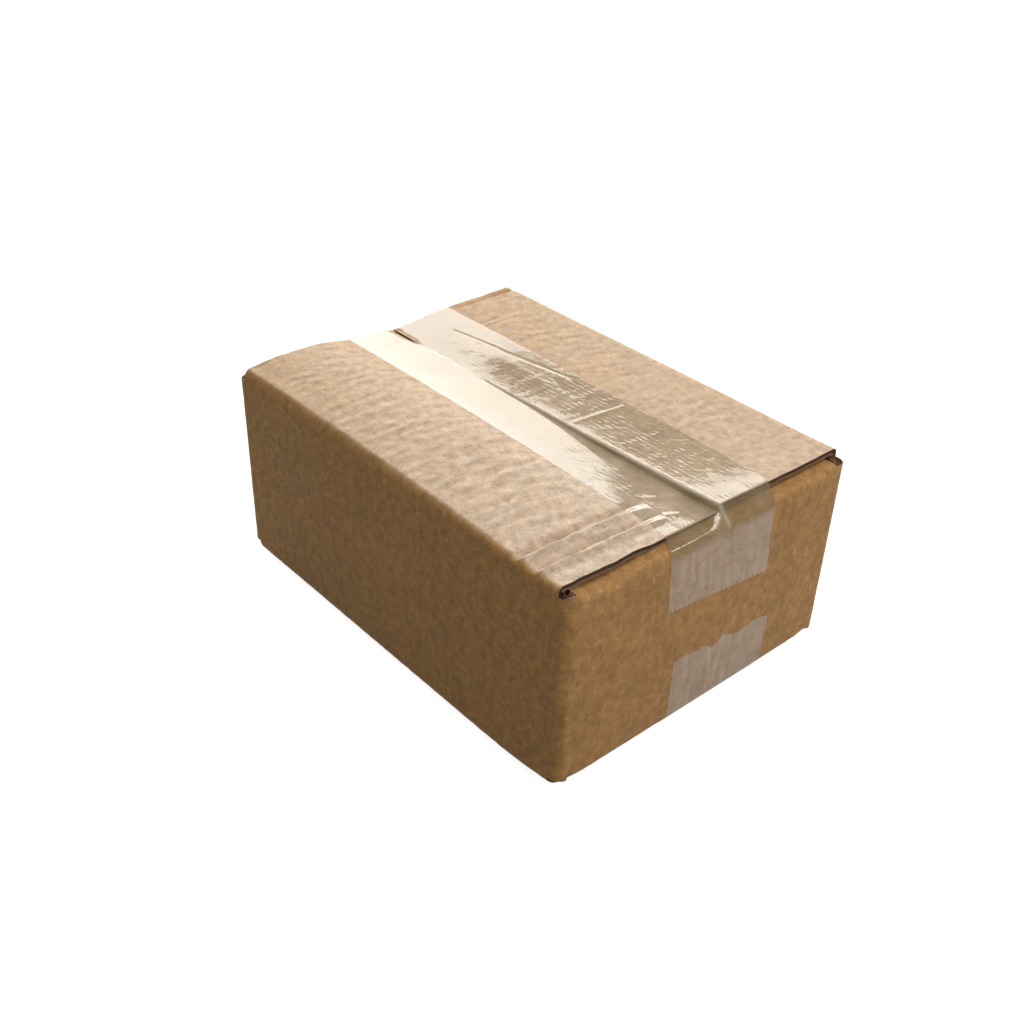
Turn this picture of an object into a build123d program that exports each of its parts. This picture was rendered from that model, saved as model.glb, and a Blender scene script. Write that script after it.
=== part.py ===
from build123d import *
from math import asin, atan2, hypot, tan
import os

# Taped parcel: a small regular slotted carton, folded from one sheet and closed
# with two strips of clear packing tape. X runs along the carton, +X is the end
# panel that faces the front, Z is up, and the parcel rests on its bottom tape.

# Carton, outside sizes in millimetres, with the height measured at flat flaps
box_length = 178.0
box_width = 128.0
box_height = 79.0

# Board and its scored folds
board = 3.0
fold_inside = 1.2
corner_inside = 0.8
slot_width = 7.0
layer_gap = 0.2

# Slots at each corner: how far their ends are from the top and the bottom
slot_end_drop = 3.5
slot_end_rise = 1.5

# Outer flaps: the gap at the seam, and how far the seam lies off the middle
seam_gap = 1.2
seam_offset = 3.0
seam_drift = 0.8

# The top outer flaps are bowed: height above flat, at five places from fold to seam.
# Between the ends they stand a little higher at the fold, and the flaps under them sag.
near_flap_rear = (0.8, 2.4, 2.2, -0.4, -1.4)
near_flap_front = (-1.1, -1.5, -1.9, -2.4, -2.6)
far_flap_rear = (1.8, 1.5, 1.3, 0.0, -1.2)
far_flap_front = (-0.4, -0.5, -0.3, 0.1, 0.5)
near_fold_bulge = 1.0
far_fold_bulge = 0.1
inner_flap_sag = 7.0

# Glue tab of the maker's joint, at the rear left corner
tab_length = 32.0
tab_end_cut = 8.0
tab_drop = 5.0
joint_gap = 1.2

# Clear tape: width, film with its glue, and where the two strips run
tape_width = 48.0
tape_film = 0.1
top_tape_centre = 4.0
bottom_tape_centre = 8.4
tooth_pitch = 2.0
tooth_depth = 1.2

# Length of each tape leg down or up its end panel, at its left and right edge
top_front_leg = (26.4, 31.6)
top_rear_leg = (30.0, 28.0)
bottom_front_leg = (31.0, 26.5)
bottom_rear_leg = (25.0, 27.0)

# At the seam the film spans the step down to the near flap and lands this far in.
# Past the flaps' ends it starts down to the end wall from film_lift above flat, and
# film_clearance is the air left under it on the bowed flaps.
film_span_rear = 1.0
film_span_front = 13.0
film_landing_depth = 0.06
film_lift = 1.5
film_clearance = 0.3

# Levels and faces worked out from those sizes
base = tape_film
top = base + box_height
half_length = box_length / 2
half_width = box_width / 2
fold_outside = fold_inside + board
fold_middle = fold_inside + board / 2
corner_middle = corner_inside + board / 2
inner_layer = board + layer_gap
flap_half_length = half_length - board / 2 - slot_width / 2
flap_half_width = half_width - board / 2 - slot_width / 2
flap_root = top - 2 * fold_outside
under_flaps = top - 4 * board
flap_places = [(-1, -flap_half_length), (0, 0), (1, flap_half_length)]


def bottom_section(side):
    """Section of a long wall with its bottom outer flap, up to the top flap's root."""
    line = FilletPolyline(
        (seam_offset + side * seam_gap / 2, base + board / 2),
        (side * (half_width - board / 2), base + board / 2),
        (side * (half_width - board / 2), flap_root),
        radius=fold_middle,
    )
    return trace(line, line_width=board)


def flap_heights(side, place):
    """Heights of a top flap above flat, with place -1 at the rear and 1 in front."""
    rear = near_flap_rear if side < 0 else far_flap_rear
    front = near_flap_front if side < 0 else far_flap_front
    bulge = near_fold_bulge if side < 0 else far_fold_bulge
    ahead = ((place + 1) / 2) ** 2
    heights = []
    for step, (behind, before) in enumerate(zip(rear, front)):
        fade = 1 - step / (len(rear) - 1)
        heights.append(behind + ahead * (before - behind) + bulge * fade * (1 - place**2))
    return heights


def flap_crest(side, place):
    """Upper line of a top flap across one place, from its fold to the seam."""
    bend = side * (half_width - fold_outside)
    tip = seam_offset + seam_drift * place + side * seam_gap / 2
    heights = flap_heights(side, place)
    stride = (tip - bend) / (len(heights) - 1)
    points = [(bend + step * stride, top + height) for step, height in enumerate(heights)]
    run_out = (stride, heights[-1] - heights[-2])
    return Spline(*points, tangents=[(-side, 0), run_out])


def flap_section(side, place):
    """Section of a bowed top flap with its fold and the head of its wall."""
    upper = flap_crest(side, place)
    lower = Pos(0, -board) * upper
    bend = upper @ 0 - Vector(0, fold_outside)
    start = 180 if side < 0 else 0
    outer = CenterArc(bend, fold_outside, start, side * 90)
    inner = CenterArc(bend, fold_inside, start, side * 90)
    wall = Polyline(
        inner @ 0,
        (side * (half_width - board), flap_root),
        (side * half_width, flap_root),
        outer @ 0,
    )
    tip = Line(upper @ 1, lower @ 1)
    return make_face([outer, upper, tip, lower, inner, *wall.edges()])


def top_flap(side):
    """Bowed top outer flap, lofted from the rear to the front."""
    return loft([Plane.YZ.offset(x) * flap_section(side, place) for place, x in flap_places])


def end_panel(side, left_edge, right_edge):
    """End wall with its two inner flaps, of which the top one is pressed down."""
    wall = side * (half_length - board / 2)
    flap_tip = side * (half_length - half_width + seam_gap / 2)
    low = base + inner_layer + board / 2
    high = top - inner_layer - board / 2
    line = FilletPolyline(
        (flap_tip, low),
        (wall, low),
        (wall, high),
        (flap_tip, high - inner_flap_sag),
        radius=fold_middle,
    )
    section = Plane.XZ.offset(-left_edge) * trace(line, line_width=board)
    return extrude(section, left_edge - right_edge)


def upright_corner(points):
    """Upright bend between two walls, cut off level where the slots end."""
    line = FilletPolyline(*points, radius=corner_middle)
    wall = trace(line, line_width=board)
    height = box_height - slot_end_drop - slot_end_rise
    return extrude(Plane.XY.offset(base + slot_end_rise) * wall, height)


def plain_corner(side_x, side_y):
    """Corner at which the sheet runs on round the box."""
    line_x = side_x * (half_length - board / 2)
    line_y = side_y * (half_width - board / 2)
    start = (side_x * flap_half_length, line_y)
    end = (line_x, side_y * flap_half_width)
    return upright_corner([start, (line_x, line_y), end])


def glued_corner():
    """Corner at which the rear end wall turns in as a tab, inside the side wall."""
    line_x = board / 2 - half_length
    line_y = half_width - board * 1.5
    tab_end = tab_length - half_length
    tab_start = -flap_half_length
    low = base + slot_end_rise
    high = top - slot_end_drop
    bend = upright_corner([(line_x, joint_flap_edge), (line_x, line_y), (tab_end, line_y)])
    keep = Polyline(
        (-half_length, low),
        (tab_start, low),
        (tab_start, base + tab_drop),
        (tab_end, base + tab_drop + tab_end_cut),
        (tab_end, top - tab_drop - tab_end_cut),
        (tab_start, top - tab_drop),
        (tab_start, high),
        (-half_length, high),
        close=True,
    )
    bend &= extrude(Plane.XZ * make_face(keep), box_width, both=True)
    edge_length = half_length - flap_half_length - joint_gap
    edge_strip = Box(edge_length, board, high - low, align=(Align.MIN, Align.MAX, Align.MIN))
    return bend + Pos(joint_gap - half_length, half_width, low) * edge_strip


def film_bend():
    """Distance from flat at which a film past the slots' ends reaches the end wall."""
    across = half_length - fold_outside - flap_half_length
    down = inner_layer + fold_outside
    wrap_angle = asin(fold_outside / hypot(across, down)) + atan2(across, down)
    return down - fold_outside * tan(wrap_angle / 2)


def wrapped_block(centre):
    """Space that one turn of film encloses, with the corners over the end folds cut."""
    profile = Polyline(
        (-half_length, base + film_bend()),
        (-flap_half_length, base),
        (flap_half_length, base),
        (half_length, base + film_bend()),
        (half_length, top - film_bend()),
        (flap_half_length, top + film_lift),
        (-flap_half_length, top + film_lift),
        (-half_length, top - film_bend()),
        close=True,
    )
    return extrude(Plane.XZ.offset(-centre) * make_face(profile), tape_width / 2, both=True)


def film_tent(place):
    """Section of the space that the film spans, from the far flap's edge to the near flap."""
    near = flap_crest(-1, place)
    far = flap_crest(1, place)
    ahead = ((place + 1) / 2) ** 2
    span = film_span_rear + ahead * (film_span_front - film_span_rear)
    heights = flap_heights(-1, place)
    stride = (half_width - fold_outside + (near @ 1).X) / (len(heights) - 1)
    landing = top + heights[-1] + (heights[-2] - heights[-1]) * span / stride
    landing_line = (near @ 1).X - span
    outline = Polyline(
        far @ 1,
        (landing_line, landing - film_landing_depth),
        (landing_line, landing - board / 2),
        ((far @ 1).X + seam_gap, (far @ 1).Y - board / 2),
        close=True,
    )
    return make_face(outline)


def flap_end(side, place):
    """Top flap's end outline, filled below, as the film meets it past the flaps."""
    upper = flap_crest(side, place)
    below = Polyline(
        upper @ 1,
        ((upper @ 1).X, under_flaps),
        ((upper @ 0).X, under_flaps),
        upper @ 0,
    )
    return make_face([upper, *below.edges()])


def top_former():
    """Surface that the top film lies on: both flaps, the tent and what is past them."""
    former = near_flap + far_flap
    former += loft([Plane.YZ.offset(x) * film_tent(place) for place, x in flap_places])
    for place in (-1, 1):
        outline = flap_end(-1, place) + flap_end(1, place) + film_tent(place)
        end_plane = Plane.YZ.offset(place * flap_half_length)
        former += extrude(end_plane * outline, place * (half_length - flap_half_length))
    return Pos(0, 0, film_clearance) * (former & wrapped_block(top_tape_centre))


def tape_leg(side, centre, start, ends):
    """Film down or up one end panel, from its bend to its toothed cut end."""
    left = centre - tape_width / 2
    teeth = round(tape_width / tooth_pitch)
    up = 1 if start > ends[0] else -1
    outline = [(left, start)]
    for step in range(2 * teeth + 1):
        share = step / (2 * teeth)
        edge = ends[0] + share * (ends[1] - ends[0])
        depth = tooth_depth if step % 2 else 0
        outline.append((left + share * tape_width, edge + up * depth))
    outline.append((left + tape_width, start))
    area = make_face(Polyline(*outline, close=True))
    return extrude(Plane.YZ.offset(side * half_length) * area, side * tape_film)


def tape(former, outward, centre, start, front_ends, rear_ends):
    """One strip: the film on its side of the former, and its two legs."""
    strip = Pos(0, 0, outward * tape_film) * former - former
    strip += tape_leg(1, centre, start + outward * tape_film, front_ends)
    return strip + tape_leg(-1, centre, start + outward * tape_film, rear_ends)


# The folded sheet; the rear end wall is narrower on the side of the glued joint
joint_flap_edge = flap_half_width - board
near_flap = top_flap(-1)
far_flap = top_flap(1)
carton = near_flap + far_flap
for wall_side in (-1, 1):
    carton += extrude(Plane.YZ * bottom_section(wall_side), flap_half_length, both=True)
carton += end_panel(1, -flap_half_width, flap_half_width)
carton += end_panel(-1, -flap_half_width, joint_flap_edge)
for corner in [(1, -1), (1, 1), (-1, -1)]:
    carton += plain_corner(*corner)
carton += glued_corner()

# The two strips of tape
top_tape = tape(
    top_former(),
    1,
    top_tape_centre,
    top - film_bend() + film_clearance,
    [top - leg for leg in top_front_leg],
    [top - leg for leg in top_rear_leg],
)
bottom_tape = tape(
    wrapped_block(bottom_tape_centre),
    -1,
    bottom_tape_centre,
    base + film_bend(),
    [base + leg for leg in bottom_front_leg],
    [base + leg for leg in bottom_rear_leg],
)

os.makedirs("parts", exist_ok=True)
nodes = {"carton": carton, "top_tape": top_tape, "bottom_tape": bottom_tape}
for name, shape in nodes.items():
    shape.label = name
    export_step(shape, f"parts/{name}.step")
    print(name, len(shape.solids()), round(shape.volume, 1), shape.bounding_box())
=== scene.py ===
import math

import bpy
from mathutils import Matrix, Quaternion, Vector


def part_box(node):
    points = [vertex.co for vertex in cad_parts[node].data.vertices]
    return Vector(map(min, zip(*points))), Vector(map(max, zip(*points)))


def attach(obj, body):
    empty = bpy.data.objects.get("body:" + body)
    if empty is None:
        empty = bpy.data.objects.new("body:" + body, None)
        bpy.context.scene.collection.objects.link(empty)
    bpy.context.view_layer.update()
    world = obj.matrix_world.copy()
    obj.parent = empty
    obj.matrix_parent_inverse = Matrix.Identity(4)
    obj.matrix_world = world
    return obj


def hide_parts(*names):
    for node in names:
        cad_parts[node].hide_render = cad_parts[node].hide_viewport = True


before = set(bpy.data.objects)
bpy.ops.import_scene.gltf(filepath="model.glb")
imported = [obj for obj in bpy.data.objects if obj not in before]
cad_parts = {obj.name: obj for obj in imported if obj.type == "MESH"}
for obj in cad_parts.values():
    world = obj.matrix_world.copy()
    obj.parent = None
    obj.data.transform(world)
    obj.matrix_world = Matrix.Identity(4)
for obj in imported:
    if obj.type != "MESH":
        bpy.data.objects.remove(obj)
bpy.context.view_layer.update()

# Carton: one sheet of brown single-wall corrugated board, scored, slotted, folded
# shut and glued along a tab at the rear left corner. The sheet is laid out by its
# columns round the walls and its rows up the walls, then folded into place.
mm = 0.001
carton_low, carton_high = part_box("carton")
half_length = carton_high.x
half_width = carton_high.y
base = carton_low.z
box_height = 79.0 * mm
top = base + box_height
board = 3.0 * mm
corner_radius = 3.8 * mm
fold_radius = 2.4 * mm
foot_radius = 5.2 * mm
slot_width = 7.0 * mm
slot_end = 3.5 * mm
slot_foot = 5.4 * mm
inner_drop = 3.2 * mm
joint_gap = 1.2 * mm
tab_length = 32.0 * mm
seam_gap = 0.5 * mm
seam_middle = 3.0 * mm
seam_drift = 0.8 * mm
side_step = 0.9 * mm
end_step = 1.8 * mm
flap_half_length = half_length - board / 2 - slot_width / 2
flap_half_width = half_width - board / 2 - slot_width / 2
joint_flap_edge = flap_half_width - board
bend_parts = 8


def fade_in(value, start, end):
    """0 up to the start, 1 from the end on, and an even change between them."""
    return min(1.0, max(0.0, (value - start) / (end - start)))


def bell(distance, breadth):
    """Bell curve: 1 at no distance, and next to nothing beyond two breadths."""
    return math.exp(-(distance / breadth) ** 2)


def steps(start, end, size):
    """Evenly spaced values from start to end, about one size apart."""
    count = max(1, math.ceil(abs(end - start) / size - 1e-6))
    return [start + (end - start) * k / count for k in range(count + 1)]


columns = []
flap_after = []


def add_columns(points, normals, flap=None):
    """Adds columns of the sheet; flap names the flap between them, if any."""
    for (x, y), (nx, ny) in zip(points, normals):
        out = Vector((nx, ny, 0.0)).normalized()
        place = Vector((x, y, 0.0))
        if columns and (columns[-1][0] - place).length < 1e-7:
            continue
        run = columns[-1][2] + (place - columns[-1][0]).length if columns else 0.0
        if columns:
            flap_after.append(flap)
        columns.append((place, out, run))


def add_wall(start, end, normal, flap_start, flap_end, flap, size):
    """Straight wall: a plain strip, the stretch that carries the flaps, a plain strip."""
    parts = ((start, flap_start, None), (flap_start, flap_end, flap), (flap_end, end, None))
    for a, b, name in parts:
        shares = steps(0.0, 1.0, size / max((Vector(b) - Vector(a)).length, size))
        line = [tuple(Vector(a).lerp(Vector(b), k)) for k in shares]
        add_columns(line, [normal] * len(line), name)


def add_corner(centre, start_degrees):
    """Upright bend that turns the sheet clockwise by a right angle, seen from above."""
    turns = [math.radians(start_degrees - 90 * k / bend_parts) for k in range(bend_parts + 1)]
    normals = [(math.cos(t), math.sin(t)) for t in turns]
    points = [(centre[0] + corner_radius * x, centre[1] + corner_radius * y) for x, y in normals]
    add_columns(points, normals)


inner_x = half_length - corner_radius
inner_y = half_width - corner_radius
tab_y = half_width - board
add_wall((joint_gap - half_length, half_width), (inner_x, half_width), (0, 1),
         (-flap_half_length, half_width), (flap_half_length, half_width), "far", side_step)
add_corner((inner_x, inner_y), 90)
add_wall((half_length, inner_y), (half_length, -inner_y), (1, 0),
         (half_length, flap_half_width), (half_length, -flap_half_width), "front", end_step)
add_corner((inner_x, -inner_y), 0)
add_wall((inner_x, -half_width), (-inner_x, -half_width), (0, -1),
         (flap_half_length, -half_width), (-flap_half_length, -half_width), "near", side_step)
add_corner((-inner_x, -inner_y), -90)
add_wall((-half_length, -inner_y), (-half_length, tab_y - corner_radius), (-1, 0),
         (-half_length, -flap_half_width), (-half_length, joint_flap_edge), "rear", end_step)
add_corner((-inner_x, tab_y - corner_radius), 180)
add_wall((-inner_x, tab_y), (tab_length - half_length, tab_y), (0, 1),
         (-inner_x, tab_y), (-inner_x, tab_y), None, end_step * 2)

bend_radius = {1: fold_radius, -1: foot_radius}
fold_level = {"near": 0.0, "far": 0.0, "front": inner_drop, "rear": inner_drop}
flap_reach = {"near": half_width + seam_middle - seam_gap / 2,
              "far": half_width - seam_middle - seam_gap / 2,
              "front": half_width, "rear": half_width}


def flap_rows(name, row_size, wall_end, up):
    """Rows of one flap beyond the slot's end, as lengths along the sheet from the slot's end."""
    radius = bend_radius[up]
    to_fold = wall_end - radius - fold_level[name]
    bend = [to_fold + radius * math.pi / 2 * k / bend_parts for k in range(bend_parts + 1)]
    flat = steps(bend[-1], bend[-1] + flap_reach[name] - radius, row_size)
    return [row for row in bend + flat[1:] if row > 1e-6]


row_size = {"near": 2.0 * mm, "far": 2.0 * mm, "front": 12.0 * mm, "rear": 12.0 * mm}
top_rows = {name: flap_rows(name, row_size[name], slot_end, 1) for name in fold_level}
under_rows = {name: flap_rows(name, 8.0 * mm, slot_foot, -1) for name in fold_level}
wall_low = base + slot_foot
wall_high = top - slot_end
inner_fold = inner_drop + fold_radius
inner_foot = inner_drop + foot_radius
wall_rows = steps(wall_low, base + inner_foot, 0.8 * mm)
wall_rows += steps(base + inner_foot, top - inner_fold, 3.0 * mm)[1:]
wall_rows += steps(top - inner_fold, wall_high, 0.8 * mm)[1:]
column_flap = [a or b for a, b in zip(flap_after + [None], [None] + flap_after)]


# How the closed outer flaps stand above or below their flat level, in quarters of
# the way from the fold to the seam, at the rear and at the front of the parcel.
near_rear = [0.8, 2.4, 2.2, -0.3, -1.15]
near_front = [-1.1, -1.5, -1.9, -2.4, -2.6]
far_rear = [1.8, 1.5, 1.3, 0.0, -1.2]
far_front = [-0.4, -0.5, -0.3, 0.1, 0.5]
near_fold_bulge = 1.0 * mm
far_fold_bulge = 0.1 * mm
# Wear of the flaps: both curl up at the front, the far one swells along a slanting line
# and is scored across its rear end, and the near one has two creases across its front
# end, each given by its place, its height and its breadth.
near_curl = 0.7 * mm
far_curl = 0.35 * mm
curl_start = 62.0 * mm
curl_length = 20.0 * mm
far_swell = 0.42 * mm
swell_place = -22.0 * mm
swell_slant = 0.85
swell_breadth = 18.0 * mm
rear_score = 0.5 * mm
score_place = -80.5 * mm
score_breadth = 0.9 * mm
score_edge = 29.0 * mm
crease_lines = ((67.6 * mm, 1.1 * mm, 1.4 * mm), (75.3 * mm, 0.95 * mm, 1.2 * mm))
crease_slant = 0.012
# Wear of the edges and walls: the near front corner stands up, the front fold sags
# beside it, both front corners of the foot are crushed up, the seam gapes at its rear
# end, and the walls swell.
corner_rise = 2.4 * mm
front_sag = 1.9 * mm
foot_rise = 2.4 * mm
crushed_inside = 0.3 * mm
slit_open = 0.5 * mm
slit_start = -64.0 * mm
worn_height = 20.0 * mm
worn_top = top - 4.0 * mm
worn_foot = base + 2.0 * mm
side_swell = 0.7 * mm
end_swell = 0.5 * mm


def through(values, share):
    """Smooth curve through evenly spaced values, read at a share of its length."""
    place = fade_in(share, 0.0, 1.0) * (len(values) - 1)
    k = min(int(place), len(values) - 2)
    t = place - k
    a = values[max(k - 1, 0)]
    b = values[k]
    c = values[k + 1]
    d = values[min(k + 2, len(values) - 1)]
    return b + 0.5 * t * (c - a + t * (2 * a - 5 * b + 4 * c - d + t * (3 * (b - c) + d - a)))


def flap_rise(x, y):
    """Height of the closed flaps above the flat level, at a place on the top."""
    along = fade_in(x, -half_length, half_length)
    arch = math.sin(math.pi * along)
    ahead = along * along
    curled = max(0.0, (x - curl_start) / curl_length) ** 2
    seam = seam_middle + seam_drift * x / half_length
    if y < seam:
        across = (y + half_width) / (half_width + seam)
        rise = through(near_rear, across) * (1 - ahead) + through(near_front, across) * ahead
        rise = rise * mm + near_fold_bulge * arch * (1 - 0.7 * across) + near_curl * curled
        off_tape = fade_in(across, 0.78, 0.58)
        for line, height, breadth in crease_lines:
            off = x - line - crease_slant * (y + half_width)
            valley = bell(off + 1.9 * breadth, breadth)
            rise += off_tape * height * (bell(off, breadth) - 0.8 * valley)
        return rise
    across = (half_width - y) / (half_width - seam)
    rise = through(far_rear, across) * (1 - ahead) + through(far_front, across) * ahead
    rise = rise * mm + far_fold_bulge * arch * (1 - 0.7 * across) + far_curl * curled
    swell = bell(x - swell_place + swell_slant * (y - seam), swell_breadth)
    rise += far_swell * swell * fade_in(across, 1.0, 0.75)
    off_tape = fade_in(y, score_edge, score_edge + 5.0 * mm)
    return rise - rear_score * off_tape * bell(x - score_place, score_breadth)


def wall_bow(place, out, height):
    """How far a wall stands out of its plane: most at its middle, a little in at the foot."""
    swell = math.sin(math.pi * fade_in(height, base, top))
    if abs(out.y) > 0.9:
        return side_swell * swell * math.cos(math.pi * place.x / (2 * half_length))
    if abs(out.x) > 0.9:
        return end_swell * swell * math.cos(math.pi * place.y / (2 * half_width))
    return 0.0


def wear_share(height, start, end):
    """How fully the wear of an edge shows at a height: slowly more from start to end."""
    return fade_in(height, start, end) ** 2


def corner_lift(place, row):
    """The near front corner stands a little higher, where the flap was pressed down past it."""
    level = wear_share(row, worn_top - worn_height, worn_top)
    around = bell(place.y + half_width, 11.0 * mm) * bell(place.x - half_length, 2.6 * mm)
    return corner_rise * level * around


def front_drop(place, row):
    """The fold of the front inner flap sags towards the near corner, which leaves a dark gap."""
    level = wear_share(row, worn_top - worn_height, worn_top)
    return front_sag * level * bell(place.y + half_width, 27.0 * mm)


def foot_lift(point):
    """Both front corners of the foot are crushed up a little."""
    level = wear_share(point.z, worn_foot + worn_height, worn_foot)
    around = bell(half_width - abs(point.y), 7.0 * mm) * bell(half_length - point.x, 16.0 * mm)
    return foot_rise * level * around


def sheet_point(column, row, depth):
    """Place of a point of the folded sheet. Rows above or below the walls lie on a flap."""
    place, out, run = columns[column]
    flap = column_flap[column]
    up = 1 if row > (base + top) / 2 else -1
    level = top if up > 0 else base
    bend = bend_radius[up]
    fold_start = level - up * (bend + fold_level.get(flap, 0.0))
    past_fold = (row - fold_start) * up if flap or up < 0 else -1.0
    if past_fold <= 0.0:
        point = place + out * (wall_bow(place, out, row) - depth)
        point.z = row + corner_lift(place, row)
        if flap == "front" and up > 0:
            point.z -= front_drop(place, row)
        point.z += foot_lift(point)
        return point
    turn = min(past_fold / bend, math.pi / 2)
    radius = max(bend - depth, crushed_inside)
    point = place + out * (radius * math.cos(turn) - bend)
    point.z = fold_start + up * radius * math.sin(turn) + corner_lift(place, row)
    flat = past_fold - bend * math.pi / 2
    if flap and flat > 0.0:
        if flap in ("near", "far"):
            longer = seam_drift * place.x / half_length * (1 if flap == "near" else -1)
            longer -= slit_open * fade_in(place.x, slit_start, slit_start - 8.0 * mm)
            flat *= 1 + longer / (flap_reach[flap] - bend)
        point -= out * flat
    if up > 0:
        outside = place - out * (bend * (1 - math.cos(turn)) + max(flat, 0.0))
        share = math.sin(turn) ** 2
        if flap in ("near", "far"):
            point.z += share * flap_rise(outside.x, outside.y)
        if flap == "front":
            point.z -= front_drop(place, row)
    point.z += foot_lift(point)
    return point


def sheet_mesh(name):
    """Closed mesh of the folded sheet, with its raw cut edges as recessed strips."""
    keys = {}
    points = []

    def corner_of(column, row):
        key = (column, round(row, 7))
        if key not in keys:
            keys[key] = len(points)
            points.append((column, row))
        return keys[key]

    faces = []

    def add_faces(column, rows):
        for low, high in zip(rows, rows[1:]):
            a = corner_of(column, low)
            b = corner_of(column + 1, low)
            c = corner_of(column + 1, high)
            d = corner_of(column, high)
            faces.append((a, d, c, b))

    for column, flap in enumerate(flap_after):
        if flap:
            add_faces(column, [wall_high] + [wall_high + r for r in top_rows[flap]])
            add_faces(column, sorted([wall_low] + [wall_low - r for r in under_rows[flap]]))
        add_faces(column, wall_rows)

    edge_uses = {}
    for face in faces:
        for a, b in zip(face, face[1:] + face[:1]):
            edge_uses[(a, b)] = face
    rim = [(a, b) for a, b in edge_uses if (b, a) not in edge_uses]

    outer = [sheet_point(column, row, 0.0) for column, row in points]
    inner = [sheet_point(column, row, board) for column, row in points]
    vertices = outer + inner
    shift = len(points)
    quads = [tuple(face) for face in faces]
    quads += [tuple(v + shift for v in reversed(face)) for face in faces]

    inward = {}
    for a, b in rim:
        face = edge_uses[(a, b)]
        centre = sum((outer[v] for v in face), Vector()) / 4
        pull = (centre - (outer[a] + outer[b]) / 2).normalized()
        for v in (a, b):
            inward[v] = inward.get(v, Vector()) + pull
    liner = 0.32 * mm
    recess = 0.55 * mm
    depths = [liner, liner * 1.15, board / 2, board - liner * 1.15, board - liner]
    sunk = [0.0, recess, recess * 1.3, recess, 0.0]
    rings = {}
    for v, pull in inward.items():
        rings[v] = [v]
        for depth, down in zip(depths, sunk):
            rings[v].append(len(vertices))
            share = depth / board
            vertices.append(outer[v].lerp(inner[v], share) + pull.normalized() * down)
        rings[v].append(v + shift)
    cut_start = len(quads)
    cut_depths = [0.0] + depths + [board]
    cut_runs = []
    for a, b in rim:
        for k in range(len(cut_depths) - 1):
            quads.append((rings[b][k], rings[a][k], rings[a][k + 1], rings[b][k + 1]))
            cut_runs.append((a, b, cut_depths[k], cut_depths[k + 1]))

    mesh = bpy.data.meshes.new(name)
    mesh.from_pydata(vertices, [], quads)
    sheet = mesh.uv_layers.new(name="sheet")
    for polygon in mesh.polygons:
        if polygon.index < cut_start:
            for loop in polygon.loop_indices:
                column, row = points[mesh.loops[loop].vertex_index % shift]
                sheet.data[loop].uv = (columns[column][2], row)
        else:
            a, b, near_side, far_side = cut_runs[polygon.index - cut_start]
            ends = [columns[points[v][0]][2] for v in (b, a, a, b)]
            spans = [near_side, near_side, far_side, far_side]
            for loop, run, span in zip(polygon.loop_indices, ends, spans):
                sheet.data[loop].uv = (run, span)
    raw = mesh.attributes.new("raw_edge", "BOOLEAN", "FACE")
    raw.data.foreach_set("value", [k >= cut_start for k in range(len(quads))])

    origin = list(range(shift)) * 2
    for v in inward:
        origin += [v] * len(depths)
    outward = []
    place = []
    washboard = []
    painted_sheen = []
    for source in origin:
        column, row = points[source]
        point = outer[source]
        on_top = column_flap[column] in ("near", "far") and point.z > top - fold_radius
        outward += (0.0, 0.0, 1.0) if on_top else tuple(columns[column][1])
        place += (columns[column][2], row, 0.0)
        washboard.append(board_ripple(point) if on_top else wall_ripple)
        # On the top, a share of painted sheen: a paler colour that stands in for sheen.
        painted_sheen.append(painted_sheen_share(point) if on_top else 0.0)
    mesh.attributes.new("outward", "FLOAT_VECTOR", "POINT").data.foreach_set("vector", outward)
    mesh.attributes.new("sheet_place", "FLOAT_VECTOR", "POINT").data.foreach_set("vector", place)
    mesh.attributes.new("washboard", "FLOAT", "POINT").data.foreach_set("value", washboard)
    mesh.attributes.new("painted_sheen", "FLOAT", "POINT").data.foreach_set("value", painted_sheen)
    mesh.update()
    return mesh


flute_pitch = 6.4 * mm
wall_ripple = 0.22
top_tape_half = 24.0 * mm
top_tape_rear = 6.0 * mm
top_tape_front = 5.0 * mm


def tape_middle(x):
    """Middle line of the tape on the top, which wanders a little off the seam."""
    along = (x + half_length) / (2 * half_length)
    return top_tape_rear + (top_tape_front - top_tape_rear) * along


def board_ripple(point):
    """Share of the full washboard ripple that the board shows at a place on the top."""
    along = (point.x + half_length) / (2 * half_length)
    full = 0.6 + 0.4 * fade_in(along, 0.0, 0.625) if point.y < seam_middle else 0.42
    off_fold = fade_in(half_width - abs(point.y), 0.0, 9.0 * mm)
    away = abs(point.y - tape_middle(point.x)) - top_tape_half
    off_tape = fade_in(away, -2.5 * mm, 2.5 * mm)
    return full * max(off_fold, 0.1) * (0.07 + 0.93 * off_tape)


def painted_sheen_share(point):
    """Share of painted sheen on the top: a paler colour that stands in for the window's sheen,
    more towards the front.
    """
    along = (point.x + half_length) / (2 * half_length)
    over_fold = fade_in(half_width - abs(point.y), 0.7 * mm, 2.4 * mm)
    sheen_level = 0.35 + 0.65 * along if point.y < seam_middle else 0.25 + 0.4 * along
    ahead_of_score = fade_in(point.x, score_place - 1.5 * mm, score_place + 1.5 * mm)
    return sheen_level * over_fold * (1.0 if point.y < seam_middle else ahead_of_score)


def new_tree(name, sockets):
    """Node tree for a modifier: geometry in and out, and its named inputs."""
    tree = bpy.data.node_groups.new(name, "GeometryNodeTree")
    tree.interface.new_socket(name="Geometry", in_out="INPUT", socket_type="NodeSocketGeometry")
    for label, kind in sockets:
        tree.interface.new_socket(name=label, in_out="INPUT", socket_type=kind)
    tree.interface.new_socket(name="Geometry", in_out="OUTPUT", socket_type="NodeSocketGeometry")
    return tree


def place_node(tree, kind, inputs=(), **settings):
    """Adds a node with its settings; an input takes a socket or a value, by its name or place."""
    node = tree.nodes.new(kind)
    for key, value in settings.items():
        setattr(node, key, value)
    for key, value in dict(inputs).items():
        if isinstance(value, bpy.types.NodeSocket):
            tree.links.new(value, node.inputs[key])
        else:
            node.inputs[key].default_value = value
    return node


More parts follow.
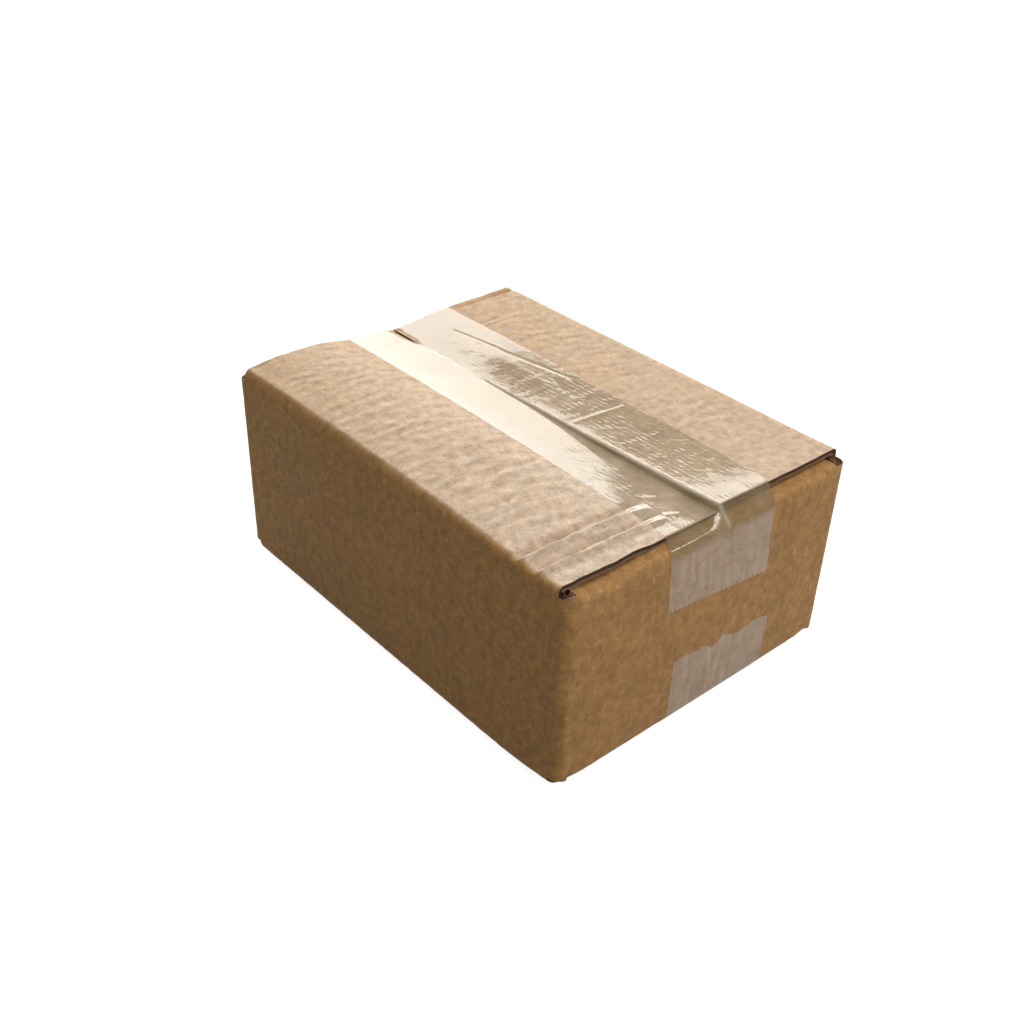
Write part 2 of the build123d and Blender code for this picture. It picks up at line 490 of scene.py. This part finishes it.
def value_node(tree, operation, *values):
    """Arithmetic on sockets or numbers."""
    node = place_node(tree, "ShaderNodeMath", dict(enumerate(values)), operation=operation)
    return node.outputs[0]


def held(tree, name, kind):
    """Values that the mesh holds under a name."""
    node = place_node(tree, "GeometryNodeInputNamedAttribute", {"Name": name}, data_type=kind)
    return node.outputs["Attribute"]


def ramp(tree, value, low, high, to_low=0.0, to_high=1.0):
    """Maps a value between two limits, and holds it there."""
    node = place_node(tree, "ShaderNodeMapRange",
                      {"Value": value, "From Min": low, "From Max": high,
                       "To Min": to_low, "To Max": to_high})
    return node.outputs[0]


def relief_tree():
    """Washboard relief: the flutes show through the liner as ripples that come, go and drift."""
    tree = new_tree("board_relief", [
        ("Board", "NodeSocketMaterial"), ("Cut edge", "NodeSocketMaterial"),
        ("Flute pitch", "NodeSocketFloat"), ("Ripple length", "NodeSocketFloat"),
        ("Ripple height", "NodeSocketFloat"), ("Dent height", "NodeSocketFloat"),
        ("Drift", "NodeSocketFloat"), ("Seed", "NodeSocketFloat")])
    given = place_node(tree, "NodeGroupInput")
    weight = held(tree, "washboard", "FLOAT")
    outward = held(tree, "outward", "FLOAT_VECTOR")
    place = held(tree, "sheet_place", "FLOAT_VECTOR")
    parts = place_node(tree, "ShaderNodeSeparateXYZ", {0: place}).outputs
    flutes = value_node(tree, "DIVIDE", parts["X"], given.outputs["Flute pitch"])
    lengths = value_node(tree, "DIVIDE", parts["Y"], given.outputs["Ripple length"])

    def wander(across, along, layer):
        x = value_node(tree, "MULTIPLY", flutes, across)
        y = value_node(tree, "MULTIPLY", lengths, along)
        z = value_node(tree, "ADD", given.outputs["Seed"], layer)
        spot = place_node(tree, "ShaderNodeCombineXYZ", {0: x, 1: y, 2: z}).outputs[0]
        noise = place_node(tree, "ShaderNodeTexNoise",
                           {"Vector": spot, "Scale": 1.0, "Detail": 1.0})
        return value_node(tree, "SUBTRACT", noise.outputs[0], 0.5)

    drift = value_node(tree, "MULTIPLY", wander(0.45, 1.0, 0.0), given.outputs["Drift"])
    phase = value_node(tree, "MULTIPLY", value_node(tree, "ADD", flutes, drift), 2 * math.pi)
    wave = value_node(tree, "SINE", phase)
    strength = ramp(tree, wander(0.6, 1.3, 5.0), -0.16, 0.2, 0.1, 1.0)
    stood_up = value_node(tree, "MULTIPLY", wave, strength)
    ripple = value_node(tree, "MULTIPLY", stood_up, given.outputs["Ripple height"])
    dents = value_node(tree, "MULTIPLY", wander(1.5, 2.5, 9.0), given.outputs["Dent height"])
    lift = value_node(tree, "MULTIPLY", value_node(tree, "ADD", ripple, dents), weight)
    move = place_node(tree, "ShaderNodeVectorMath", {0: outward, "Scale": lift}, operation="SCALE")
    moved = place_node(tree, "GeometryNodeSetPosition",
                       {"Geometry": given.outputs["Geometry"], "Offset": move.outputs[0]})
    real = place_node(tree, "GeometryNodeRealizeInstances", {0: moved.outputs[0]})
    board_set = place_node(tree, "GeometryNodeSetMaterial",
                           {"Geometry": real.outputs[0], "Material": given.outputs["Board"]})
    edge_set = place_node(tree, "GeometryNodeSetMaterial",
                          {"Geometry": board_set.outputs[0],
                           "Selection": held(tree, "raw_edge", "BOOLEAN"),
                           "Material": given.outputs["Cut edge"]})
    out = place_node(tree, "NodeGroupOutput")
    tree.links.new(edge_set.outputs[0], out.inputs[0])
    return tree


def settle(thing, tree, values):
    """Runs a tree once on an object and keeps the result as its plain mesh."""
    modifier = thing.modifiers.new(tree.name, "NODES")
    modifier.node_group = tree
    for item in tree.interface.items_tree:
        if item.item_type == "SOCKET" and item.in_out == "INPUT" and item.name in values:
            modifier[item.identifier] = values[item.name]
    bpy.context.view_layer.update()
    made = thing.evaluated_get(bpy.context.evaluated_depsgraph_get())
    mesh = bpy.data.meshes.new_from_object(made)
    thing.modifiers.remove(modifier)
    thing.data = mesh


def soften(mesh, degrees):
    """Smooth shading, with the edges that are sharper than an angle kept crisp."""
    mesh.shade_smooth()
    mesh.set_sharp_from_angle(angle=math.radians(degrees))


def new_material(name):
    """Empty material with its surface shader, ready for its nodes."""
    material = bpy.data.materials.new(name)
    material.use_nodes = True
    tree = material.node_tree
    shader = tree.nodes["Principled BSDF"]
    return material, tree, shader


def noise_on(tree, spot, scale, detail=2.0, roughness=0.5, stretch=(1.0, 1.0, 1.0)):
    """Noise read at a spot, stretched along chosen directions."""
    scaled = place_node(tree, "ShaderNodeMapping", {"Vector": spot, "Scale": stretch})
    noise = place_node(tree, "ShaderNodeTexNoise",
                       {"Vector": scaled.outputs[0], "Scale": scale,
                        "Detail": detail, "Roughness": roughness})
    return noise.outputs[0]


def mixed(tree, share, first, second, blend="MIX"):
    """Colour mix of two colours or sockets."""
    node = tree.nodes.new("ShaderNodeMix")
    node.data_type = "RGBA"
    node.blend_type = blend
    for key, value in ((0, share), (6, first), (7, second)):
        if isinstance(value, bpy.types.NodeSocket):
            tree.links.new(value, node.inputs[key])
        else:
            node.inputs[key].default_value = value
    return node.outputs[2]


def bumped(tree, layers):
    """Normals raised by layers of relief, each a height map, a strength and a distance."""
    inputs = {}
    for height, strength, distance in layers:
        inputs.update({"Height": height, "Strength": strength, "Distance": distance})
        inputs["Normal"] = place_node(tree, "ShaderNodeBump", inputs).outputs[0]
    return inputs["Normal"]


def kraft_board():
    """Brown kraft liner: mottled paper, soft streaks along the flutes, fibres and specks, and on
    the top a painted sheen.
    """
    material, tree, shader = new_material("kraft_board")
    spot = place_node(tree, "ShaderNodeUVMap", uv_map="sheet").outputs[0]
    body = place_node(tree, "ShaderNodeTexCoord").outputs["Object"]
    mottle = ramp(tree, noise_on(tree, body, 38.0, 4.0, 0.6), 0.3, 0.7)
    colour = mixed(tree, mottle, (0.385, 0.205, 0.064, 1), (0.52, 0.295, 0.112, 1))
    streak = ramp(tree, noise_on(tree, spot, 1.0, 2.0, 0.6, (330.0, 14.0, 1.0)), 0.35, 0.68)
    colour = mixed(tree, streak, colour, (0.475, 0.265, 0.092, 1))
    thin_streaks = noise_on(tree, spot, 1.0, 1.0, 0.5, (620.0, 22.0, 1.0))
    dark_streak = ramp(tree, thin_streaks, 0.52, 0.78, 0.0, 0.42)
    colour = mixed(tree, dark_streak, colour, (0.36, 0.19, 0.06, 1))
    # Painted sheen: a pale colour is added on the top, where it stands in for the sheen of the
    # window.
    sheen_amount = place_node(tree, "ShaderNodeAttribute", attribute_name="painted_sheen").outputs["Fac"]
    pale = mixed(tree, 1.0, colour, (0.125, 0.2, 0.24, 1), "ADD")
    colour = mixed(tree, sheen_amount, colour, pale)
    grain = ramp(tree, noise_on(tree, body, 1500.0, 3.0, 0.7), 0.25, 0.75, 0.0, 1.0)
    grain_colour = mixed(tree, grain, (0.76, 0.74, 0.70, 1), (1.22, 1.23, 1.24, 1))
    across = place_node(tree, "ShaderNodeSeparateXYZ", {0: body}).outputs["Y"]
    off_tape = value_node(tree, "SUBTRACT", across, (top_tape_rear + top_tape_front) / 2)
    from_tape = value_node(tree, "ABSOLUTE", off_tape)
    dry = ramp(tree, from_tape, top_tape_half - 2.0 * mm, top_tape_half + 1.0 * mm, 0.15, 1.0)
    colour = mixed(tree, dry, colour, grain_colour, "MULTIPLY")
    cloud = ramp(tree, noise_on(tree, body, 330.0, 2.0, 0.6), 0.3, 0.7)
    cloud_colour = mixed(tree, cloud, (0.80, 0.78, 0.76, 1), (1.19, 1.20, 1.21, 1))
    colour = mixed(tree, 1.0, colour, cloud_colour, "MULTIPLY")
    long_spots = noise_on(tree, body, 560.0, 1.0, 0.4, (1.0, 1.0, 0.35))
    fibre = ramp(tree, long_spots, 0.69, 0.78, 0.0, 0.6)
    colour = mixed(tree, fibre, colour, (0.62, 0.43, 0.25, 1))
    speck = ramp(tree, noise_on(tree, body, 640.0, 0.0, 0.4), 0.8, 0.86, 0.0, 0.35)
    colour = mixed(tree, speck, colour, (0.2, 0.1, 0.045, 1))
    tree.links.new(colour, shader.inputs["Base Color"])
    rough = ramp(tree, mottle, 0.0, 1.0, 0.5, 0.6)
    tree.links.new(rough, shader.inputs["Roughness"])
    shader.inputs["Specular IOR Level"].default_value = 0.2
    flute = noise_on(tree, spot, 1.0, 1.0, 0.5, (300.0, 9.0, 1.0))
    normal = bumped(tree, ((grain, 0.25, 0.12 * mm), (flute, 0.5, 0.4 * mm)))
    tree.links.new(normal, shader.inputs["Normal"])
    return material


def cut_edge():
    """Raw cut edge of the board: two thin liners, the wavy fluted medium between them, and painted
    shade in the open flutes between its waves.
    """
    material, tree, shader = new_material("cut_edge")
    spot = place_node(tree, "ShaderNodeUVMap", uv_map="sheet").outputs[0]
    body = place_node(tree, "ShaderNodeTexCoord").outputs["Object"]
    parts = place_node(tree, "ShaderNodeSeparateXYZ", {0: spot}).outputs
    turn = value_node(tree, "MULTIPLY", parts["X"], 2 * math.pi / flute_pitch)
    wave = value_node(tree, "SINE", turn)
    line = value_node(tree, "MULTIPLY_ADD", wave, 1.0 * mm, board / 2)
    away = value_node(tree, "ABSOLUTE", value_node(tree, "SUBTRACT", parts["Y"], line))
    medium = ramp(tree, away, 0.15 * mm, 0.45 * mm, 1.0, 0.0)
    middle = value_node(tree, "SUBTRACT", parts["Y"], board / 2)
    from_middle = value_node(tree, "ABSOLUTE", middle)
    liner = ramp(tree, from_middle, board / 2 - 0.5 * mm, board / 2 - 0.3 * mm)
    ragged = ramp(tree, noise_on(tree, body, 900.0, 3.0, 0.7), 0.3, 0.7)
    # Painted shade: near-black colour stands in for the shade inside the open flutes, which are
    # not modelled as holes.
    dark = mixed(tree, ragged, (0.035, 0.016, 0.008, 1), (0.11, 0.055, 0.026, 1))
    colour = mixed(tree, medium, dark, (0.2, 0.11, 0.055, 1))
    colour = mixed(tree, liner, colour, (0.36, 0.21, 0.11, 1))
    tree.links.new(colour, shader.inputs["Base Color"])
    shader.inputs["Roughness"].default_value = 0.85
    normal = bumped(tree, ((ragged, 0.6, 0.4 * mm),))
    tree.links.new(normal, shader.inputs["Normal"])
    return material


board_finish = kraft_board()
edge_finish = cut_edge()
board_relief = relief_tree()
carton = bpy.data.objects.new("carton_board", sheet_mesh("carton_board"))
bpy.context.scene.collection.objects.link(carton)
settle(carton, board_relief, {"Board": board_finish, "Cut edge": edge_finish,
                              "Flute pitch": flute_pitch, "Ripple length": 11.0 * mm,
                              "Ripple height": 0.32 * mm, "Dent height": 0.75 * mm,
                              "Drift": 2.8, "Seed": 3.7})
soften(carton.data, 38)
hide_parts("carton")
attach(carton, "root")


# Top tape: one strip of clear packing tape, 48 mm wide, pressed along the top seam
# and down both end walls. It is drawn tight over the flaps' cut edges, tents over
# the step between the two flaps, and ends in the teeth of the dispenser's cutter.
film = 0.08 * mm
film_gap = 0.14 * mm
tooth_pitch = 2.0 * mm
tooth_depth = 1.1 * mm
across_step = 0.5 * mm
along_step = 0.6 * mm
top_leg_front = (top - 26.4 * mm, top - 31.6 * mm)
top_leg_rear = (top - 30.0 * mm, top - 28.0 * mm)
tent_slope = (0.6, 0.24)
tent_blend = 0.12 * mm
ridge_height = 0.04 * mm
slit_depth = 1.1 * mm
leg_middle = 1.6 * mm
pulled_aside = 1.6 * mm
leg_drift = 0.055
leg_rows = 18
edge_rows = 6
bend_rows = 7
pulled_rows = 9
# Wrinkles of the film: the places they run through, their height and their breadth.
wrinkles = [
    ([(-66, 19.5), (-52, 21.0), (-36, 22.0), (-21, 24.5), (-8, 26.5)], -0.10, 0.5),
    ([(16.6, 6.0), (18.0, 16.0), (20.0, 26.5)], 0.06, 0.6),
    ([(64, -9), (67, -4), (69, 1)], 0.05, 0.7),
    ([(75, -11), (77.5, -6), (80, -3)], 0.05, 0.6),
]


def to_line(x, y, line):
    """Distance in the plane from a place to a line through chosen places."""
    nearest = 1.0
    place = Vector((x, y))
    for a, b in zip(line, line[1:]):
        start = Vector(a) * mm
        run = Vector(b) * mm - start
        share = min(max((place - start).dot(run) / run.length_squared, 0.0), 1.0)
        nearest = min(nearest, (place - start - run * share).length)
    return nearest


def film_height(x, y):
    """Height of the film above the flat flap level where it lies on the top."""
    seam = seam_middle + seam_drift * x / half_length
    near_lip = seam - seam_gap / 2
    far_lip = seam + seam_gap / 2
    far_edge = flap_rise(x, far_lip)
    own = flap_rise(x, min(y, near_lip) if y < far_lip else y)
    if y < far_lip:
        slope = tent_slope[0] + (tent_slope[1] - tent_slope[0]) * fade_in(x, -30 * mm, 30 * mm)
        tent = far_edge - slope * (far_lip - y)
        own = (own + tent + math.hypot(own - tent, tent_blend)) / 2
    own += ridge_height * fade_in(x, -5 * mm, 20 * mm) * bell(y - far_lip - 0.3 * mm, 0.9 * mm)
    own -= slit_depth * fade_in(x, slit_start, slit_start - 14 * mm) * bell(y - seam, 1.3 * mm)
    for line, height, breadth in wrinkles:
        own += height * mm * bell(to_line(x, y, line), breadth * mm)
    return own


def film_mesh(name, lines, across, thickness):
    """Closed strip between lines of outer points, each with its outward direction and run."""
    count = len(lines[0])
    vertices = []
    for line in lines:
        for point, out, run in line:
            vertices.append(point)
            vertices.append(point - out * thickness)

    def at(line, k, side):
        return (line * count + k) * 2 + side

    quads = []
    last = len(lines) - 1
    for line in range(last):
        for k in range(count - 1):
            places = ((line, k), (line + 1, k), (line + 1, k + 1), (line, k + 1))
            quads.append(tuple(at(i, j, 0) for i, j in places))
            quads.append(tuple(at(i, j, 1) for i, j in places[:1] + places[:0:-1]))
        for k, turn in ((0, 1), (count - 1, -1)):
            rim = (at(line, k, 0), at(line, k, 1), at(line + 1, k, 1), at(line + 1, k, 0))
            quads.append(rim[::turn])
    for k in range(count - 1):
        quads.append((at(0, k, 0), at(0, k + 1, 0), at(0, k + 1, 1), at(0, k, 1)))
        quads.append((at(last, k, 0), at(last, k, 1), at(last, k + 1, 1), at(last, k + 1, 0)))
    mesh = bpy.data.meshes.new(name)
    mesh.from_pydata(vertices, [], quads)
    strip = mesh.uv_layers.new(name="strip")
    where = [(run, b) for line, b in zip(lines, across) for _, _, run in line]
    for loop in mesh.loops:
        strip.data[loop.index].uv = where[loop.vertex_index // 2]
    return mesh


def tooth(b):
    """Depth of the cutter's zigzag at a distance across the tape."""
    share = (b / tooth_pitch) % 1.0
    return tooth_depth * (1 - abs(2 * share - 1))


def on_bend(side, y, fold_x, fold_z, radius, turn):
    """Place of the film on a bend round one end, turned up from level by an angle."""
    return Vector((side * (fold_x + radius * math.cos(turn)), y, fold_z + radius * math.sin(turn)))


def end_drop(side, y, edge_level):
    """Film over one end of the top: off the flap's edge, round the fold, onto the wall."""
    fold_x = half_length - fold_radius
    fold_z = top - inner_fold
    radius = fold_radius + film_gap
    run_x = flap_half_length - fold_x
    run_z = edge_level - fold_z
    reach = math.hypot(run_x, run_z)
    wrap = math.asin(min(1.0, radius / reach)) - math.atan2(run_x, run_z)
    wrap = min(max(wrap, 0.2), math.pi / 2)
    edge = Vector((side * flap_half_length, y, edge_level))
    touch = on_bend(side, y, fold_x, fold_z, radius, wrap)
    line = [edge.lerp(touch, k / edge_rows) for k in range(1, edge_rows + 1)]
    for k in range(1, bend_rows + 1):
        line.append(on_bend(side, y, fold_x, fold_z, radius, wrap * (1 - k / bend_rows)))
    return line


def top_tape_line(b):
    """One line along the tape, from its front cut end, over the top, to its rear cut end."""
    share = b / top_tape_half / 2 + 0.5
    middle = []
    for x in steps(flap_half_length, -flap_half_length, along_step):
        y = tape_middle(x) + b
        pull = fade_in(x, flap_half_length - 12.0 * mm, flap_half_length)
        y -= pull * pull * pulled_aside
        middle.append(Vector((x, y, top + film_gap + film_height(x, y))))
    ends = []
    for side, cut in ((1, top_leg_front), (-1, top_leg_rear)):
        start = middle[0] if side > 0 else middle[-1]
        drop = end_drop(side, start.y, start.z)
        cut_z = cut[0] + (cut[1] - cut[0]) * share + tooth(b)
        leg = []
        for k in range(1, leg_rows + 1):
            z = drop[-1].z + (cut_z - drop[-1].z) * k / leg_rows
            bow = wall_bow(start, Vector((1, 0, 0)), z)
            leg.append(Vector((side * (half_length + film_gap + bow), start.y, z)))
        line = drop + leg
        target = leg_middle + b if side > 0 else start.y
        for k, point in enumerate(line):
            ease = min(1.0, (k + 1) / pulled_rows)
            down = max(0.0, top - inner_fold - point.z)
            point.y += (target - start.y) * ease * ease * (3 - 2 * ease)
            point.y += down * leg_drift * (side > 0)
        ends.append(line)
    return list(reversed(ends[0])) + middle + ends[1]


def with_outward(lines):
    """Adds to each point of a grid of lines its outward direction and its run along the line."""
    grid = []
    for i, line in enumerate(lines):
        left = lines[max(i - 1, 0)]
        right = lines[min(i + 1, len(lines) - 1)]
        run = 0.0
        row = []
        for k, point in enumerate(line):
            ahead = line[min(k + 1, len(line) - 1)] - line[max(k - 1, 0)]
            across = right[k] - left[k]
            out = across.cross(ahead).normalized()
            run += (point - line[k - 1]).length if k else 0.0
            row.append((point, out, run))
        grid.append(row)
    return grid


def clear_tape():
    """Clear tape: thin glossy film, hazy where air is trapped, with fine lines across it and a
    painted cyan reflection at its rear end.
    """
    material, tree, shader = new_material("clear_tape")
    spot = place_node(tree, "ShaderNodeUVMap", uv_map="strip").outputs[0]
    haze = ramp(tree, noise_on(tree, spot, 1.0, 3.0, 0.55, (60.0, 90.0, 1.0)), 0.4, 0.75)
    colour = mixed(tree, haze, (0.22, 0.165, 0.055, 1), (0.42, 0.35, 0.21, 1))
    body = place_node(tree, "ShaderNodeTexCoord").outputs["Object"]
    parts = place_node(tree, "ShaderNodeSeparateXYZ", {0: body}).outputs
    seam = value_node(tree, "MULTIPLY_ADD", parts["X"], seam_drift / half_length, seam_middle)
    from_seam = value_node(tree, "ABSOLUTE", value_node(tree, "SUBTRACT", parts["Y"], seam))
    bridged = ramp(tree, from_seam, 0.4 * mm, 1.1 * mm, 0.85, 0.0)
    past_slit = ramp(tree, parts["X"], -68 * mm, -60 * mm, 0.0, 1.0)
    over_top = ramp(tree, parts["Z"], top - 6 * mm, top - 4 * mm, 0.0, 1.0)
    there = value_node(tree, "MULTIPLY", past_slit, over_top)
    bridged = value_node(tree, "MULTIPLY", bridged, there)
    colour = mixed(tree, bridged, colour, (0.72, 0.64, 0.47, 1))
    # Painted reflection: a cyan tint towards the rear end stands in for a bluish glare.
    painted_cyan_glare = ramp(tree, parts["X"], -88 * mm, -72 * mm, 0.35, 0.0)
    colour = mixed(tree, painted_cyan_glare, colour, (0.35, 0.62, 0.66, 1))
    on_leg = ramp(tree, parts["Z"], top - 8.5 * mm, top - 5 * mm, 0.8, 0.0)
    milk = ramp(tree, noise_on(tree, spot, 1.0, 3.0, 0.6, (50.0, 420.0, 1.0)), 0.3, 0.7)
    milky = mixed(tree, milk, (0.56, 0.50, 0.37, 1), (0.93, 0.89, 0.74, 1))
    colour = mixed(tree, on_leg, colour, milky)
    line = ramp(tree, noise_on(tree, spot, 1.0, 2.0, 0.6, (900.0, 60.0, 1.0)), 0.5, 0.75, 0.0, 0.8)
    colour = mixed(tree, line, colour, (0.26, 0.18, 0.10, 1))
    tree.links.new(colour, shader.inputs["Base Color"])
    rough = ramp(tree, haze, 0.0, 1.0, 0.03, 0.07)
    tree.links.new(rough, shader.inputs["Roughness"])
    shader.inputs["Alpha"].default_value = 0.3
    shader.inputs["IOR"].default_value = 1.7
    blisters = noise_on(tree, spot, 1.0, 3.0, 0.6, (95.0, 60.0, 1.0))
    waves = noise_on(tree, spot, 1.0, 1.0, 0.4, (420.0, 40.0, 1.0))
    crinkles = noise_on(tree, spot, 1.0, 1.0, 0.35, (230.0, 180.0, 1.0))
    normal = bumped(tree, ((crinkles, 1.0, 0.09 * mm), (waves, 1.0, 0.015 * mm),
                           (blisters, 1.0, 0.12 * mm)))
    tree.links.new(normal, shader.inputs["Normal"])
    return material


tape_finish = clear_tape()


def film_strip(name, line_of, thickness):
    """Strip of film through lines along it, given by their distance from its middle."""
    across = steps(-top_tape_half, top_tape_half, across_step)
    lines = with_outward([line_of(b) for b in across])
    strip = bpy.data.objects.new(name, film_mesh(name, lines, across, thickness))
    bpy.context.scene.collection.objects.link(strip)
    strip.data.materials.append(tape_finish)
    soften(strip.data, 60)
    strip.visible_shadow = False
    return strip


top_tape = film_strip("top_tape_film", top_tape_line, film)
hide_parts("top_tape")
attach(top_tape, "root")


# Bottom tape: a second strip of the same tape along the bottom seam, with a leg up
# each end wall. Its front leg was torn off by hand, so its end is ragged.
bottom_middle = 8.4 * mm
torn_edge = [30.8, 31.1, 30.0, 30.5, 27.6, 30.4, 28.1, 27.3, 28.1, 27.9, 26.5]
bottom_leg_rear = (base + 25.0 * mm, base + 27.0 * mm)


def bottom_tape_line(b):
    """One line along the bottom tape, from its rear cut end, under the parcel, to the front."""
    share = b / top_tape_half / 2 + 0.5
    y = bottom_middle + b
    fold_x = half_length - foot_radius
    fold_z = base + inner_foot
    radius = foot_radius + film_gap
    sides = []
    for side in (-1, 1):
        cut_z = bottom_leg_rear[0] + (bottom_leg_rear[1] - bottom_leg_rear[0]) * share + tooth(b)
        if side > 0:
            nick = 0.5 * mm * math.sin(b * 2600.0) * math.sin(b * 900.0)
            cut_z = base + through(torn_edge, share) * mm + nick
        line = []
        for k in range(leg_rows + 1):
            z = cut_z + (fold_z - cut_z) * k / leg_rows
            bow = wall_bow(Vector((0, y, 0)), Vector((1, 0, 0)), z)
            line.append(Vector((side * (half_length + film_gap + bow), y, z)))
        run_x = flap_half_length - fold_x
        run_z = fold_z - base
        wrap = math.asin(radius / math.hypot(run_x, run_z)) - math.atan2(run_x, run_z)
        for k in range(1, edge_rows + 1):
            line.append(on_bend(side, y, fold_x, fold_z, radius, -wrap * k / edge_rows))
        line.append(Vector((side * flap_half_length, y, base - film)))
        sides.append(line)
    along = steps(-flap_half_length, flap_half_length, 6.0 * mm)
    under = [Vector((x, y, base - film)) for x in along[1:-1]]
    return sides[0] + under + list(reversed(sides[1]))


bottom_tape = film_strip("bottom_tape_film", bottom_tape_line, -film)
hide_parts("bottom_tape")
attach(bottom_tape, "root")


# Studio: a pale floor, one tall window of soft light behind the parcel, which the
# tape mirrors towards the camera, a soft light above, a weak one in front and a small
# one far right, which glints along the film's bend over the front edge.
floor_mesh = bpy.data.meshes.new("floor")
reach = 3.0
corners = [(-reach, -reach, 0), (reach, -reach, 0), (reach, reach, 0), (-reach, reach, 0)]
floor_mesh.from_pydata(corners, [], [(0, 1, 2, 3)])
floor = bpy.data.objects.new("floor", floor_mesh)
bpy.context.scene.collection.objects.link(floor)
floor_finish, floor_tree, floor_shader = new_material("floor_paper")
floor_shader.inputs["Base Color"].default_value = (0.42, 0.39, 0.33, 1)
floor_shader.inputs["Roughness"].default_value = 0.9
mirrored_share = 0.5
white_share = 0.92


def seen_rays(tree):
    """1 for rays from the camera or glass, less for a gloss, and 0 for rays that carry light."""
    path = place_node(tree, "ShaderNodeLightPath").outputs
    gloss = value_node(tree, "MULTIPLY", path["Is Glossy Ray"], mirrored_share)
    seen = value_node(tree, "MAXIMUM", path["Is Camera Ray"], gloss)
    return value_node(tree, "MAXIMUM", seen, path["Is Transmission Ray"])


share = value_node(floor_tree, "MULTIPLY", seen_rays(floor_tree), white_share)
white = place_node(floor_tree, "ShaderNodeEmission", {"Color": (1, 1, 1, 1), "Strength": share})
lit = floor_shader.outputs[0]
both = place_node(floor_tree, "ShaderNodeAddShader", {0: lit, 1: white.outputs[0]})
floor_tree.links.new(both.outputs[0], floor_tree.nodes["Material Output"].inputs[0])
floor.data.materials.append(floor_finish)

world = bpy.data.worlds.new("studio")
bpy.context.scene.world = world
world.use_nodes = True
world_tree = world.node_tree
level = ramp(world_tree, seen_rays(world_tree), 0.0, 1.0, 0.11, 1.0)
backdrop = world_tree.nodes["Background"]
backdrop.inputs["Color"].default_value = (1, 1, 1, 1)
world_tree.links.new(level, backdrop.inputs["Strength"])


def soft_light(name, azimuth, elevation, distance, size, radiance, colour, tilt=0.0):
    """Flat soft light of a given radiance that faces the parcel from a direction."""
    lamp = bpy.data.lights.new(name, "AREA")
    lamp.shape = "RECTANGLE"
    lamp.size, lamp.size_y = size
    lamp.energy = radiance * size[0] * size[1] * math.pi
    lamp.color = colour
    holder = bpy.data.objects.new(name, lamp)
    a = math.radians(azimuth)
    e = math.radians(elevation)
    back = Vector((math.sin(a) * math.cos(e), -math.cos(a) * math.cos(e), math.sin(e)))
    holder.location = back * distance + Vector((0, 0, 0.04))
    turned = (-back).to_track_quat("-Z", "Y") @ Quaternion((0, 0, 1), math.radians(tilt))
    holder.rotation_euler = turned.to_euler()
    bpy.context.scene.collection.objects.link(holder)


soft_light("window", azimuth=228, elevation=21.3, distance=1.2, size=(1.5, 0.48),
           radiance=8.0, colour=(1.0, 0.98, 0.93), tilt=7)
soft_light("overhead", azimuth=48, elevation=75, distance=0.5, size=(0.35, 0.35),
           radiance=2.9, colour=(1.0, 0.97, 0.94))
soft_light("end_fill", azimuth=95, elevation=25, distance=1.2, size=(0.7, 0.6),
           radiance=2.62, colour=(1.0, 0.965, 1.19))
soft_light("glint", azimuth=136, elevation=39, distance=1.2, size=(0.3, 0.12),
           radiance=14.0, colour=(1.0, 0.98, 0.95))

# Camera: worked out from the seven corners of the box that the photo shows.
camera_azimuth = math.radians(47.942)
camera_elevation = math.radians(32.876)
camera_roll = math.radians(2.093)
camera_distance = 451.02 * mm
camera_target = Vector((-5.489, -1.339, 33.719)) * mm
image_width = 1024
focal_pixels = 1212.41
lens = bpy.data.cameras.new("camera")
lens.sensor_width = 36.0
lens.lens = focal_pixels * lens.sensor_width / image_width
lens.clip_start = 0.01
camera = bpy.data.objects.new("camera", lens)
bpy.context.scene.collection.objects.link(camera)
back = Vector((math.sin(camera_azimuth) * math.cos(camera_elevation),
               -math.cos(camera_azimuth) * math.cos(camera_elevation), math.sin(camera_elevation)))
level_right = Vector((math.cos(camera_azimuth), math.sin(camera_azimuth), 0.0))
level_up = back.cross(level_right)
right = level_right * math.cos(camera_roll) + level_up * math.sin(camera_roll)
up = level_up * math.cos(camera_roll) - level_right * math.sin(camera_roll)
turn = Matrix((right, up, back)).transposed()
camera.rotation_euler = turn.to_euler()
camera.location = camera_target + back * camera_distance
bpy.context.scene.camera = camera
bpy.context.scene.view_settings.view_transform = "Standard"
